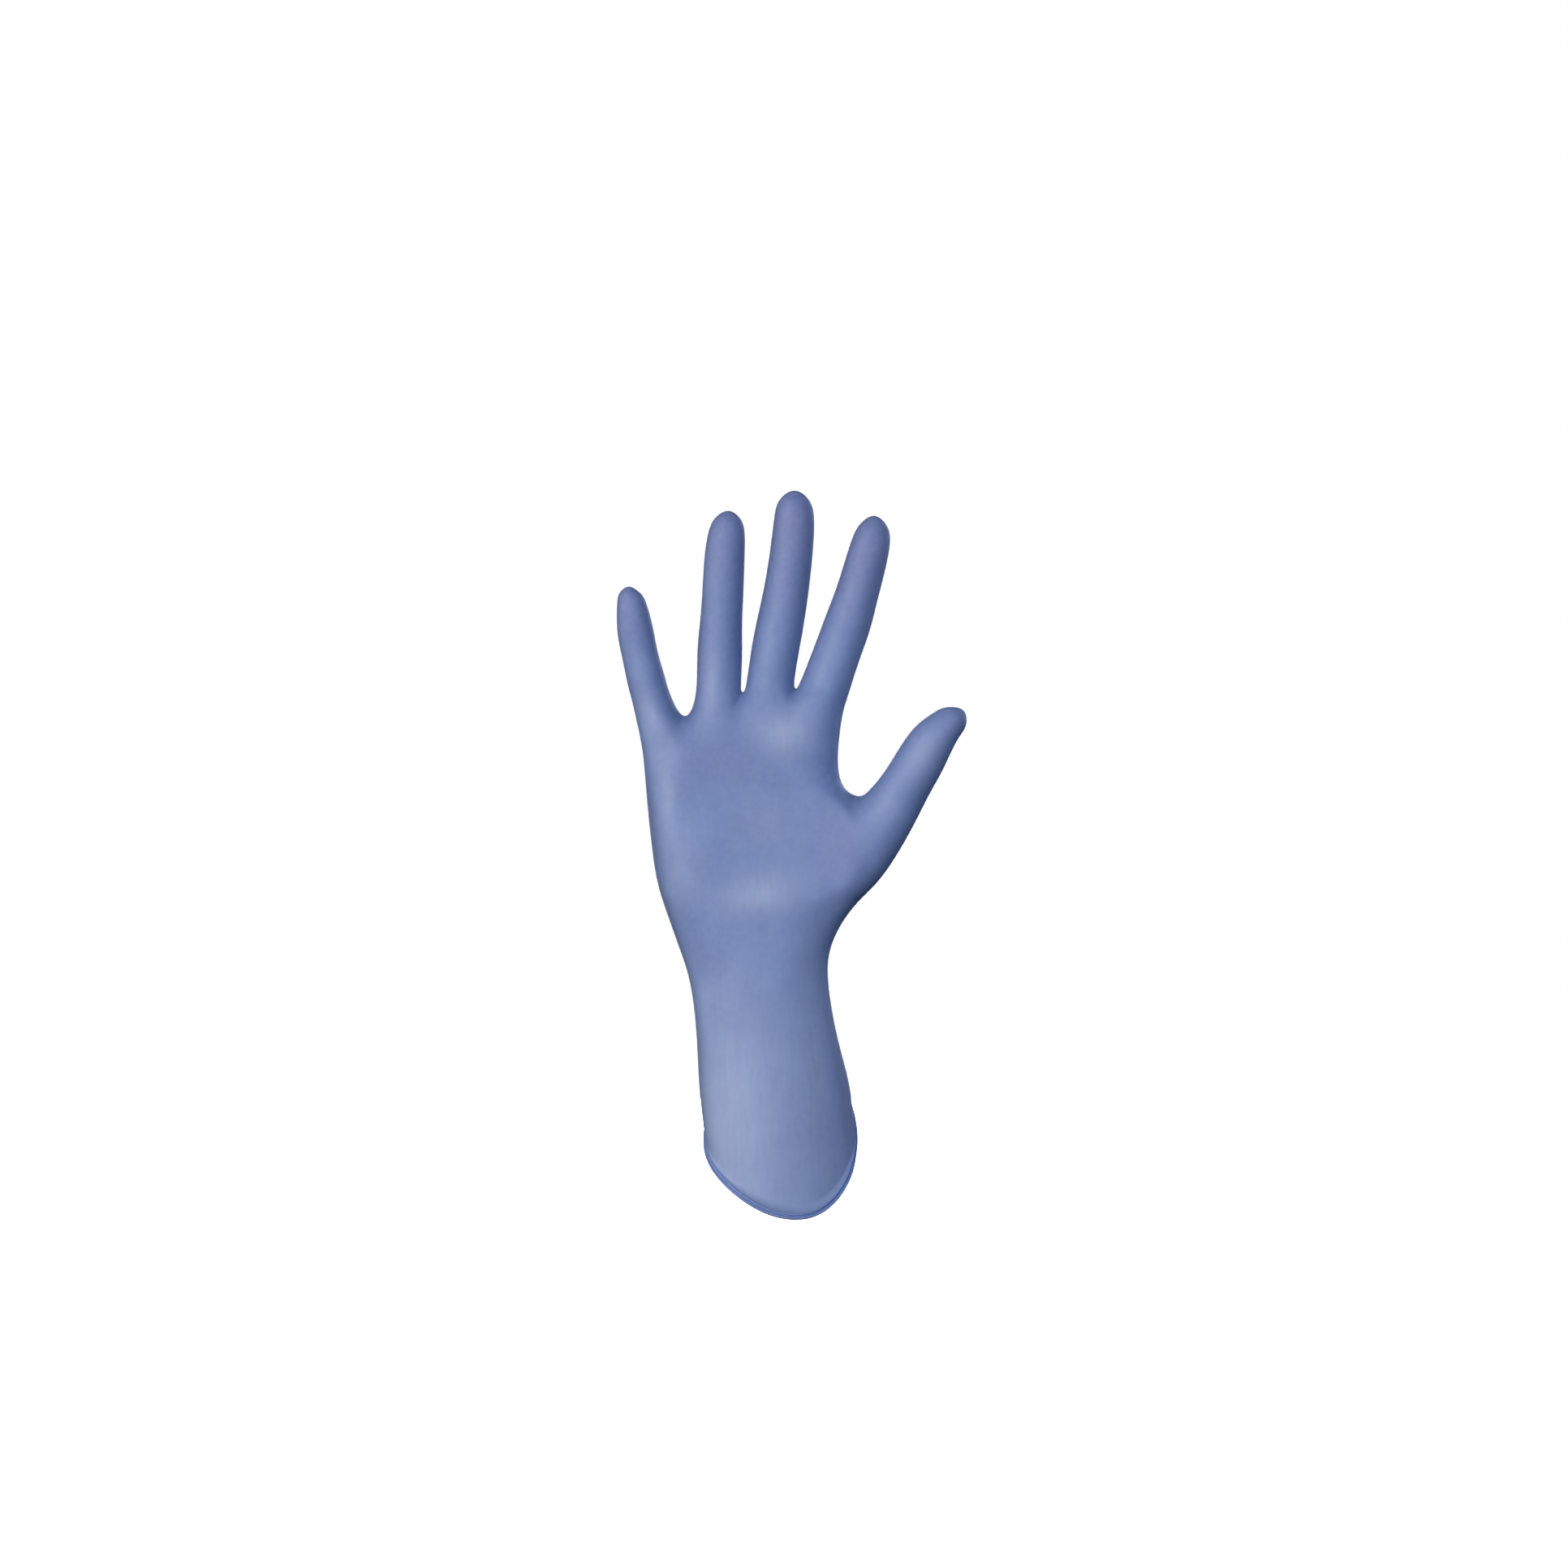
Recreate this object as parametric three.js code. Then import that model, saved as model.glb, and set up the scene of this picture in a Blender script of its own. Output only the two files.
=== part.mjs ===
// A nitrile exam glove: one dipped film, closed at five fingertips and open at the
// cuff, where the film ends in its own rolled bead. It is shown in its worn form.
//
// Frame, in millimetres: +Z runs from the cuff to the fingertips, the palm side
// faces -Y, and the thumb points to +X. The origin is the middle of the cuff opening.
//
// The outer surface is a coarse cage of quads: a tube of 20 columns for the cuff and
// palm, and a ring of 8 for each finger and the thumb. Its points are worked out
// from the tables below. The cage is solved so that the smooth subdivision surface
// passes through those points, and is then divided and put on that surface. The
// inner surface is the same surface, one film thickness inside.
import * as THREE from 'three';

// ---- driving sizes ----
const FILM = 1.0;            // wall thickness of the film
const BEAD_RADIUS = 1.1;     // rolled bead at the rim of the cuff
const BEAD_STEPS = 8;        // facets round the bead
const DIVISIONS = 1;         // subdivision steps from the cage to the mesh
const SOLVE_STEPS = 30;      // passes that bring the surface onto the table's points
const CUFF_SKEW = 0.29;      // how much steeper the rim slants on the thumb side

const table = (columns, rows) => {
  const names = columns.split(' ');
  return rows.map((row) => Object.fromEntries(names.map((name, i) => [name, row[i]])));
};

// Columns of the palm tube, as fractions of the width from the little-finger side.
const ACROSS = [0.03, 0.105, 0.215, 0.365, 0.5, 0.64, 0.775, 0.893, 0.973];
const LAST = ACROSS.length - 1;

// Cuff, wrist and palm, from the knuckles down to the rim. The left edge is on the
// little-finger side. Drop and rise move the middle of the front and back down and up.
// Depths are from the mid line to the front (palm) and back faces: at the
// little-finger side, in the middle and at the thumb side. Fullness shapes the section.
const PALM = table(
  'xLeft zLeft xRight zRight drop rise frontL frontM frontR backL backM backR fullness', [
    [-54.1, 154.9, 22.9, 152.2, 0.0, 1.3, 13.2, 12.3, 13.2, 10.5, 12.5, 11.8, 2.6],
    [-53.2, 145.6, 25.3, 141.6, 0.0, 0.6, 14.8, 12.0, 12.9, 11.0, 13.0, 11.3, 2.6],
    [-52.3, 135.0, 30.7, 137.6, 0.0, 0.0, 16.2, 12.0, 13.4, 11.5, 13.5, 11.8, 2.6],
    [-50.9, 121.3, 37.4, 121.3, 0.0, 0.0, 17.5, 13.2, 15.4, 12.0, 14.5, 12.3, 2.6],
    [-49.0, 107.5, 39.2, 105.3, 0.0, 0.0, 18.3, 15.5, 17.2, 12.6, 15.5, 13.0, 2.6],
    [-46.5, 97.6, 31.9, 97.3, 0.0, 0.0, 18.2, 17.2, 17.7, 13.3, 16.0, 13.8, 2.65],
    [-43.2, 88.0, 24.6, 88.0, 0.0, 0.0, 17.4, 17.6, 17.4, 14.3, 16.4, 14.8, 2.65],
    [-39.1, 76.5, 19.9, 77.4, 0.0, 0.0, 16.6, 17.2, 16.6, 15.4, 17.0, 15.5, 2.6],
    [-35.4, 64.0, 19.1, 64.6, 0.6, 0.6, 16.9, 17.2, 15.6, 16.3, 17.5, 16.3, 2.45],
    [-33.0, 44.8, 22.3, 44.8, 3.8, 3.2, 18.8, 18.7, 16.5, 17.6, 18.6, 17.6, 2.4],
    [-31.8, 23.7, 27.1, 24.3, 16.0, 12.8, 21.8, 21.4, 18.3, 19.7, 20.6, 19.7, 2.4],
    [-29.6, 5.1, 29.3, 7.0, 29.6, 22.4, 24.2, 23.8, 20.4, 21.5, 22.3, 21.5, 2.4],
  ]);

// The row at the foot of the four fingers, column by column.
const FOOT = table('x zFront yFront zBack yBack', [
  [-53.6, 162.6, -6.6, 161.9, 6.2],
  [-46.7, 164.2, -10.6, 162.9, 9.4],
  [-38.0, 164.6, -9.2, 162.0, 8.0],
  [-25.0, 167.7, -11.6, 166.4, 10.6],
  [-15.6, 172.6, -9.8, 169.0, 8.8],
  [-4.8, 170.9, -12.0, 169.0, 11.0],
  [5.5, 173.8, -10.0, 170.2, 8.8],
  [16.0, 172.5, -11.6, 170.9, 10.6],
  [22.6, 170.5, -7.2, 169.5, 6.0],
]);
const FOOT_SIDES = { left: [-55.6, 0, 163.2], right: [24.5, 0, 168.6] };

// The web between two fingers stands over one column of the foot row.
const WEBS = table('column x y z', [
  [2, -37.7, 0, 169.5],
  [4, -14.8, 0, 178.9],
  [6, 6.1, 0, 180.4],
]);

// The foot of the thumb takes the place of the side of three palm rows.
const THUMB_ROW = 4;
const THUMB_FOOT = table('row column x y z', [
  [3, 'F7', 21.5, -12.2, 135.4],
  [3, 'F8', 28.8, -12.2, 132.4],
  [3, 'SR', 30.4, -2.4, 138.0],
  [3, 'B8', 28.0, 5.0, 135.0],
  [3, 'B7', 21.5, 9.4, 136.3],
  [4, 'F7', 27.0, -15.0, 121.2],
  [4, 'F8', 33.6, -15.8, 121.8],
  [4, 'B8', 33.6, 8.2, 121.8],
  [4, 'B7', 27.0, 11.2, 121.2],
  [5, 'F7', 28.0, -15.2, 105.8],
  [5, 'F8', 35.6, -11.8, 106.4],
  [5, 'SR', 40.9, -2.5, 107.2],
  [5, 'B8', 35.6, 6.8, 106.6],
  [5, 'B7', 28.0, 11.0, 106.0],
]);

// Rings of each finger from its foot up. The lean is in degrees from +Z to +X.
const RING = 'x y z lean halfWidth halfDepth';
const FINGERS = {
  little: {
    rings: table(RING, [
      [-50.45, -1.0, 175.7, -16.1, 7.70, 8.3],
      [-52.76, -1.5, 184.0, -14.6, 7.48, 8.1],
      [-54.96, -2.3, 193.0, -12.0, 7.14, 7.4],
      [-56.64, -3.6, 201.5, -10.5, 7.14, 7.2],
      [-57.71, -5.0, 209.0, -8.4, 6.50, 6.6],
      [-58.56, -6.2, 214.8, -7.7, 5.42, 5.5],
      [-59.40, -6.9, 218.1, -7.0, 3.60, 3.7],
    ]), tip: [-59.6, -7.3, 220.2],
  },
  ring: {
    rings: table(RING, [
      [-24.27, -0.8, 179.9, -13.0, 9.26, 9.4],
      [-23.71, -1.6, 193.5, 1.5, 8.86, 9.1],
      [-23.13, -2.4, 206.5, 2.7, 8.34, 8.5],
      [-22.37, -3.7, 219.5, 3.4, 8.12, 8.2],
      [-21.72, -5.4, 232.0, 4.3, 7.90, 7.6],
      [-20.88, -6.9, 241.5, 3.7, 7.10, 6.7],
      [-20.36, -7.8, 247.0, 3.2, 4.90, 4.6],
    ]), tip: [-20.2, -8.3, 249.9],
  },
  middle: {
    rings: table(RING, [
      [-3.76, -0.9, 183.0, -5.5, 9.62, 9.6],
      [-1.74, -1.6, 196.0, 8.5, 9.38, 9.6],
      [0.72, -2.0, 209.0, 10.5, 9.16, 8.9],
      [2.96, -3.1, 222.0, 8.5, 8.74, 8.7],
      [4.68, -4.3, 235.5, 5.5, 8.38, 8.1],
      [5.62, -5.8, 247.5, 1.9, 7.82, 7.3],
      [5.66, -6.8, 254.4, 0.5, 5.66, 5.2],
    ]), tip: [5.7, -7.2, 257.9],
  },
  index: {
    rings: table(RING, [
      [17.42, -0.9, 180.3, 15.7, 9.86, 9.8],
      [22.04, -1.5, 193.1, 19.0, 9.34, 9.4],
      [26.68, -2.0, 206.0, 18.9, 9.16, 8.9],
      [30.30, -3.0, 217.5, 16.6, 8.50, 8.6],
      [33.57, -4.3, 229.0, 14.7, 8.14, 8.0],
      [36.05, -5.7, 239.0, 10.3, 7.34, 7.1],
      [37.06, -6.6, 244.8, 7.8, 4.98, 4.8],
    ]), tip: [37.3, -7.0, 248.0],
  },
  thumb: {
    rings: table(RING, [
      [42.93, -5.8, 131.9, 44.9, 11.50, 11.0],
      [49.41, -8.5, 142.4, 31.0, 9.94, 10.6],
      [55.03, -10.2, 152.0, 30.5, 9.58, 9.8],
      [60.22, -11.8, 160.4, 36.4, 8.58, 8.7],
      [65.40, -12.8, 166.1, 43.0, 6.88, 7.2],
      [69.00, -13.4, 169.3, 42.0, 5.15, 5.4],
    ]), tip: [71.7, -13.8, 171.6],
  },
};

// ---- the cage ----
const vec = (x, y, z) => new THREE.Vector3(x, y, z);

// Columns round the palm tube: the front from left to right, then the back.
const ROUND = [
  ...ACROSS.map((_, j) => `F${j}`), 'SR',
  ...ACROSS.map((_, j) => `B${LAST - j}`), 'SL'];

// A depth across the palm: three values, eased from one to the next.
function acrossDepth(u, left, middle, right) {
  const t = (Math.min(Math.max(u, 0.1), 0.9) - 0.5) / 0.3;
  return middle + ((right - left) / 2) * t + ((left + right) / 2 - middle) * t * t;
}

function palmRow(row) {
  const points = {
    SL: vec(row.xLeft, 0, row.zLeft),
    SR: vec(row.xRight, 0, row.zRight),
  };
  ACROSS.forEach((u, j) => {
    const round = Math.pow(1 - Math.pow(Math.abs(2 * u - 1), row.fullness), 1 / row.fullness);
    const bow = 2 * Math.sqrt(u * (1 - u)) * (1 + CUFF_SKEW * (2 * u - 1));
    const x = row.xLeft + (row.xRight - row.xLeft) * u;
    const z = row.zLeft + (row.zRight - row.zLeft) * u;
    points[`F${j}`] = vec(
      x, -round * acrossDepth(u, row.frontL, row.frontM, row.frontR), z - row.drop * bow);
    points[`B${j}`] = vec(
      x, round * acrossDepth(u, row.backL, row.backM, row.backR), z + row.rise * bow);
  });
  return points;
}

function footRow() {
  const points = { SL: vec(...FOOT_SIDES.left), SR: vec(...FOOT_SIDES.right) };
  FOOT.forEach((column, j) => {
    points[`F${j}`] = vec(column.x, column.yFront, column.zFront);
    points[`B${j}`] = vec(column.x, column.yBack, column.zBack);
  });
  return points;
}

// Eight points round a finger, from its front left corner by the front and the right.
function fingerRing(ring) {
  const lean = THREE.MathUtils.degToRad(ring.lean);
  const side = vec(Math.cos(lean), 0, -Math.sin(lean));
  return [135, 90, 45, 0, -45, -90, -135, 180].map((degrees) => {
    const a = THREE.MathUtils.degToRad(degrees);
    return vec(ring.x, ring.y, ring.z)
      .addScaledVector(side, ring.halfWidth * Math.cos(a))
      .addScaledVector(vec(0, -1, 0), ring.halfDepth * Math.sin(a));
  });
}

function buildCage() {
  const points = [];
  const quads = [];
  const add = (point) => points.push(point) - 1;

  const rows = [footRow(), ...PALM.map(palmRow)];
  for (const { row, column, x, y, z } of THUMB_FOOT) rows[row][column] = vec(x, y, z);
  const hole = (row, column) => row === THUMB_ROW && column === 'SR';
  const index = rows.map((row, k) => Object.fromEntries(
    ROUND.filter((name) => !hole(k, name)).map((name) => [name, add(row[name])])));
  const web = Object.fromEntries(WEBS.map(({ column, x, y, z }) => [column, add(vec(x, y, z))]));

  for (let k = 0; k + 1 < rows.length; k += 1) {
    ROUND.forEach((a, i) => {
      const b = ROUND[(i + 1) % ROUND.length];
      if (hole(k, a) || hole(k, b) || hole(k + 1, a) || hole(k + 1, b)) return;
      quads.push([index[k][a], index[k + 1][a], index[k + 1][b], index[k][b]]);
    });
  }

  const growFinger = (loop, { rings, tip }) => {
    let below = loop;
    for (const ring of rings) {
      const above = fingerRing(ring).map(add);
      above.forEach((_, i) => {
        const j = (i + 1) % above.length;
        quads.push([above[i], below[i], below[j], above[j]]);
      });
      below = above;
    }
    const end = add(vec(...tip));
    for (const [a, b, c] of [[7, 0, 1], [1, 2, 3], [3, 4, 5], [5, 6, 7]]) {
      quads.push([end, below[a], below[b], below[c]]);
    }
  };
  const foot = index[0];
  const fingerLoop = (first, left, right) => [
    foot[`F${first}`], foot[`F${first + 1}`], foot[`F${first + 2}`], right,
    foot[`B${first + 2}`], foot[`B${first + 1}`], foot[`B${first}`], left];
  growFinger(fingerLoop(0, foot.SL, web[2]), FINGERS.little);
  growFinger(fingerLoop(2, web[2], web[4]), FINGERS.ring);
  growFinger(fingerLoop(4, web[4], web[6]), FINGERS.middle);
  growFinger(fingerLoop(6, web[6], foot.SR), FINGERS.index);
  const [high, middle, low] = [-1, 0, 1].map((step) => index[THUMB_ROW + step]);
  growFinger(
    [high.F8, middle.F8, low.F8, low.SR, low.B8, middle.B8, high.B8, high.SR],
    FINGERS.thumb);
  return { points, quads };
}

// ---- the subdivision surface ----
const edgeKey = (a, b) => (a < b ? `${a},${b}` : `${b},${a}`);

function findEdges(quads) {
  const edges = new Map();
  quads.forEach((quad, f) => quad.forEach((a, i) => {
    const b = quad[(i + 1) % 4];
    const key = edgeKey(a, b);
    if (!edges.has(key)) edges.set(key, { a: Math.min(a, b), b: Math.max(a, b), faces: [] });
    edges.get(key).faces.push(f);
  }));
  return edges;
}

const mean = (points) => points
  .reduce((sum, p) => sum.add(p), vec(0, 0, 0)).divideScalar(points.length);

// Where each point ends up on the smooth surface.
function onSurface({ points, quads }) {
  const near = points.map(() => ({ n: 0, edge: vec(0, 0, 0), face: vec(0, 0, 0), rim: [] }));
  for (const { a, b, faces } of findEdges(quads).values()) {
    for (const [p, q] of [[a, b], [b, a]]) {
      near[p].n += 1;
      near[p].edge.add(points[q]);
      if (faces.length === 1) near[p].rim.push(points[q]);
    }
  }
  for (const quad of quads) {
    quad.forEach((a, i) => near[a].face.add(points[quad[(i + 2) % 4]]));
  }
  return points.map((p, i) => {
    const { n, edge, face, rim } = near[i];
    if (rim.length) return p.clone().multiplyScalar(4).add(rim[0]).add(rim[1]).divideScalar(6);
    return p.clone().multiplyScalar(n * n).addScaledVector(edge, 4).add(face)
      .divideScalar(n * (n + 5));
  });
}

// Moves the cage until the smooth surface passes through the points it was given.
function solveCage({ points, quads }) {
  const cage = points.map((p) => p.clone());
  for (let pass = 0; pass < SOLVE_STEPS; pass += 1) {
    const now = onSurface({ points: cage, quads });
    cage.forEach((p, i) => p.addScaledVector(points[i].clone().sub(now[i]), 0.9));
  }
  return { points: cage, quads };
}

// One Catmull-Clark step.
function divide({ points, quads }) {
  const edges = findEdges(quads);
  const centres = quads.map((quad) => mean(quad.map((a) => points[a])));
  const around = points.map(() => ({ faces: [], edges: [], rim: [] }));
  quads.forEach((quad, f) => quad.forEach((a) => around[a].faces.push(centres[f])));
  const edgePoints = [];
  for (const edge of edges.values()) {
    const { a, b, faces } = edge;
    const middle = mean([points[a], points[b]]);
    around[a].edges.push(middle);
    around[b].edges.push(middle);
    if (faces.length === 1) {
      around[a].rim.push(points[b]);
      around[b].rim.push(points[a]);
      edge.index = edgePoints.push(middle) - 1;
    } else {
      edge.index = edgePoints.push(
        mean([points[a], points[b], centres[faces[0]], centres[faces[1]]])) - 1;
    }
  }
  const moved = points.map((p, i) => {
    const { faces, edges: middles, rim } = around[i];
    if (rim.length) return p.clone().multiplyScalar(6).add(rim[0]).add(rim[1]).divideScalar(8);
    const n = faces.length;
    return mean(faces).addScaledVector(mean(middles), 2).addScaledVector(p, n - 3).divideScalar(n);
  });
  const edgeAt = (a, b) => points.length + edges.get(edgeKey(a, b)).index;
  const faceAt = (f) => points.length + edgePoints.length + f;
  const parts = quads.flatMap((quad, f) => quad.map((a, i) => [
    a, edgeAt(a, quad[(i + 1) % 4]), faceAt(f), edgeAt(a, quad[(i + 3) % 4])]));
  return { points: [...moved, ...edgePoints, ...centres], quads: parts };
}

function normalsOf({ points, quads }) {
  const normals = points.map(() => vec(0, 0, 0));
  for (const quad of quads) {
    const [p, q, r, s] = quad.map((a) => points[a]);
    const across = r.clone().sub(p).cross(s.clone().sub(q));
    quad.forEach((a) => normals[a].add(across));
  }
  return normals.map((n) => n.normalize());
}

// ---- the film: outer surface, inner surface and the rolled bead that joins them ----
function makeFilm() {
  let surface = solveCage(buildCage());
  for (let i = 0; i < DIVISIONS; i += 1) surface = divide(surface);
  const outer = { points: onSurface(surface), quads: surface.quads };
  const normals = normalsOf(outer);
  const count = outer.points.length;
  const positions = [
    ...outer.points,
    ...outer.points.map((p, i) => p.clone().addScaledVector(normals[i], -FILM))];

  const triangles = [];
  const addQuad = ([a, b, c, d]) => {
    const short = positions[a].distanceTo(positions[c]) <= positions[b].distanceTo(positions[d]);
    triangles.push(...(short ? [a, b, c, a, c, d] : [a, b, d, b, c, d]));
  };
  const outerTriangles = () => triangles.length;
  outer.quads.forEach(addQuad);
  const outerEnd = outerTriangles();
  for (let i = 0; i < outerEnd; i += 3) {
    triangles.push(triangles[i] + count, triangles[i + 2] + count, triangles[i + 1] + count);
  }

  // The rim, as directed edges of the outer surface.
  const next = new Map();
  const edges = findEdges(outer.quads);
  const inward = new Map();
  for (const quad of outer.quads) {
    quad.forEach((a, i) => {
      const b = quad[(i + 1) % 4];
      if (edges.get(edgeKey(a, b)).faces.length > 1) return;
      next.set(a, b);
      inward.set(a, quad[(i + 3) % 4]);
    });
  }
  const before = new Map([...next].map(([a, b]) => [b, a]));

  // The bead is a circle that touches the inner surface and ends on the outer one.
  const centreOut = BEAD_RADIUS - FILM;
  const centreDown = Math.sqrt(BEAD_RADIUS ** 2 - centreOut ** 2);
  const start = Math.PI;
  const finish = Math.atan2(-centreDown, -centreOut);
  const bead = new Map();
  for (const a of next.keys()) {
    const along = positions[next.get(a)].clone().sub(positions[before.get(a)]);
    const down = normals[a].clone().cross(along).normalize();
    if (down.dot(positions[inward.get(a)].clone().sub(positions[a])) > 0) down.negate();
    const ring = [a + count];
    for (let k = 0; k < BEAD_STEPS; k += 1) {
      const turn = start + ((finish - start) * k) / BEAD_STEPS;
      ring.push(positions.push(positions[a].clone()
        .addScaledVector(normals[a], centreOut + BEAD_RADIUS * Math.cos(turn))
        .addScaledVector(down, centreDown + BEAD_RADIUS * Math.sin(turn))) - 1);
    }
    bead.set(a, [...ring, a]);
  }
  for (const [a, b] of next) {
    const here = bead.get(a);
    const there = bead.get(b);
    for (let k = 0; k + 1 < here.length; k += 1) {
      addQuad([there[k + 1], here[k + 1], here[k], there[k]]);
    }
  }

  const geometry = new THREE.BufferGeometry();
  geometry.setAttribute('position',
    new THREE.Float32BufferAttribute(positions.flatMap((p) => p.toArray()), 3));
  geometry.setIndex(triangles);
  geometry.computeVertexNormals();
  return geometry;
}

const nitrile = new THREE.MeshStandardMaterial({
  name: 'nitrile_film', color: 0x7387b8, roughness: 0.55, metalness: 0,
});
const shell = new THREE.Mesh(makeFilm(), nitrile);
shell.name = 'glove_shell';

const glove = new THREE.Group();
glove.name = 'nitrile_exam_glove';
glove.add(shell);

export default glove;
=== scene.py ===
import math
import bpy
import numpy as np
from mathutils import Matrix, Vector


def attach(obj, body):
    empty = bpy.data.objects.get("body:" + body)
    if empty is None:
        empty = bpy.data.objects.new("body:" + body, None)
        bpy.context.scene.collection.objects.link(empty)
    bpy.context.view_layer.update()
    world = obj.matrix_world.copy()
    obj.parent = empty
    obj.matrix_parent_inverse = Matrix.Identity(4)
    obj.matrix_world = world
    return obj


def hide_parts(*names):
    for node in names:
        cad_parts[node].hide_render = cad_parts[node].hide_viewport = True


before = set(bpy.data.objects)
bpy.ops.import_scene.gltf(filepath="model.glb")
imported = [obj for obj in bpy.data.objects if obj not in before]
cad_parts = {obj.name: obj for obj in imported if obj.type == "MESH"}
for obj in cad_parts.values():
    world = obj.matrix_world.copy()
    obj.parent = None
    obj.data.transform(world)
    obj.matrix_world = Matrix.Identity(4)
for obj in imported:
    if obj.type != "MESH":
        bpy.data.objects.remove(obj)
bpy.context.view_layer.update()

MM = 0.001

# ---------------------------------------------------------------- sizes and tables
FILM = 1.0           # wall thickness, as in the CAD solid
DIVISIONS = 3        # subdivision steps from the cage to the mesh
SOLVE_STEPS = 30
CUFF_SKEW = 0.29
SEED = 11


def table(columns, rows):
    names = columns.split()
    return [dict(zip(names, row)) for row in rows]


ACROSS = [0.03, 0.105, 0.215, 0.365, 0.5, 0.64, 0.775, 0.893, 0.973]
LAST = len(ACROSS) - 1

PALM = table("xLeft zLeft xRight zRight drop rise frontL frontM frontR backL backM backR fullness", [
    [-54.1, 154.9, 22.9, 152.2, 0.0, 1.3, 13.2, 12.3, 13.2, 10.5, 12.5, 11.8, 2.6],
    [-53.2, 145.6, 25.3, 141.6, 0.0, 0.6, 14.8, 12.0, 12.9, 11.0, 13.0, 11.3, 2.6],
    [-52.3, 135.0, 30.7, 137.6, 0.0, 0.0, 16.2, 12.0, 13.4, 11.5, 13.5, 11.8, 2.6],
    [-50.9, 121.3, 37.4, 121.3, 0.0, 0.0, 17.5, 13.2, 15.4, 12.0, 14.5, 12.3, 2.6],
    [-49.0, 107.5, 39.2, 105.3, 0.0, 0.0, 18.3, 15.5, 17.2, 12.6, 15.5, 13.0, 2.6],
    [-46.5, 97.6, 31.9, 97.3, 0.0, 0.0, 18.2, 17.2, 17.7, 13.3, 16.0, 13.8, 2.65],
    [-43.2, 88.0, 24.6, 88.0, 0.0, 0.0, 17.4, 17.6, 17.4, 14.3, 16.4, 14.8, 2.65],
    [-39.1, 76.5, 19.9, 77.4, 0.0, 0.0, 16.6, 17.2, 16.6, 15.4, 17.0, 15.5, 2.6],
    [-35.4, 64.0, 19.1, 64.6, 0.6, 0.6, 16.9, 17.2, 15.6, 16.3, 17.5, 16.3, 2.45],
    [-33.0, 44.8, 22.3, 44.8, 3.8, 3.2, 18.8, 18.7, 16.5, 17.6, 18.6, 17.6, 2.4],
    [-31.8, 23.7, 27.1, 24.3, 16.0, 12.8, 21.8, 21.4, 18.3, 19.7, 20.6, 19.7, 2.4],
    [-29.6, 5.1, 29.3, 7.0, 29.6, 22.4, 24.2, 23.8, 20.4, 21.5, 22.3, 21.5, 2.4],
])

FOOT = table("x zFront yFront zBack yBack", [
    [-53.6, 162.6, -6.6, 161.9, 6.2],
    [-46.7, 164.2, -10.6, 162.9, 9.4],
    [-38.0, 164.6, -9.2, 162.0, 8.0],
    [-25.0, 167.7, -11.6, 166.4, 10.6],
    [-15.6, 172.6, -9.8, 169.0, 8.8],
    [-4.8, 170.9, -12.0, 169.0, 11.0],
    [5.5, 173.8, -10.0, 170.2, 8.8],
    [16.0, 172.5, -11.6, 170.9, 10.6],
    [22.6, 170.5, -7.2, 169.5, 6.0],
])
FOOT_SIDES = {"left": [-55.6, 0, 163.2], "right": [24.5, 0, 168.6]}

WEBS = table("column x y z", [
    [2, -37.7, 0, 169.5],
    [4, -14.8, 0, 178.9],
    [6, 6.1, 0, 180.4],
])

THUMB_ROW = 4
THUMB_FOOT = table("row column x y z", [
    [3, "F7", 21.5, -12.2, 135.4],
    [3, "F8", 28.8, -12.2, 132.4],
    [3, "SR", 30.4, -2.4, 138.0],
    [3, "B8", 28.0, 5.0, 135.0],
    [3, "B7", 21.5, 9.4, 136.3],
    [4, "F7", 27.0, -15.0, 121.2],
    [4, "F8", 33.6, -15.8, 121.8],
    [4, "B8", 33.6, 8.2, 121.8],
    [4, "B7", 27.0, 11.2, 121.2],
    [5, "F7", 28.0, -15.2, 105.8],
    [5, "F8", 35.6, -11.8, 106.4],
    [5, "SR", 40.9, -2.5, 107.2],
    [5, "B8", 35.6, 6.8, 106.6],
    [5, "B7", 28.0, 11.0, 106.0],
])

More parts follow.
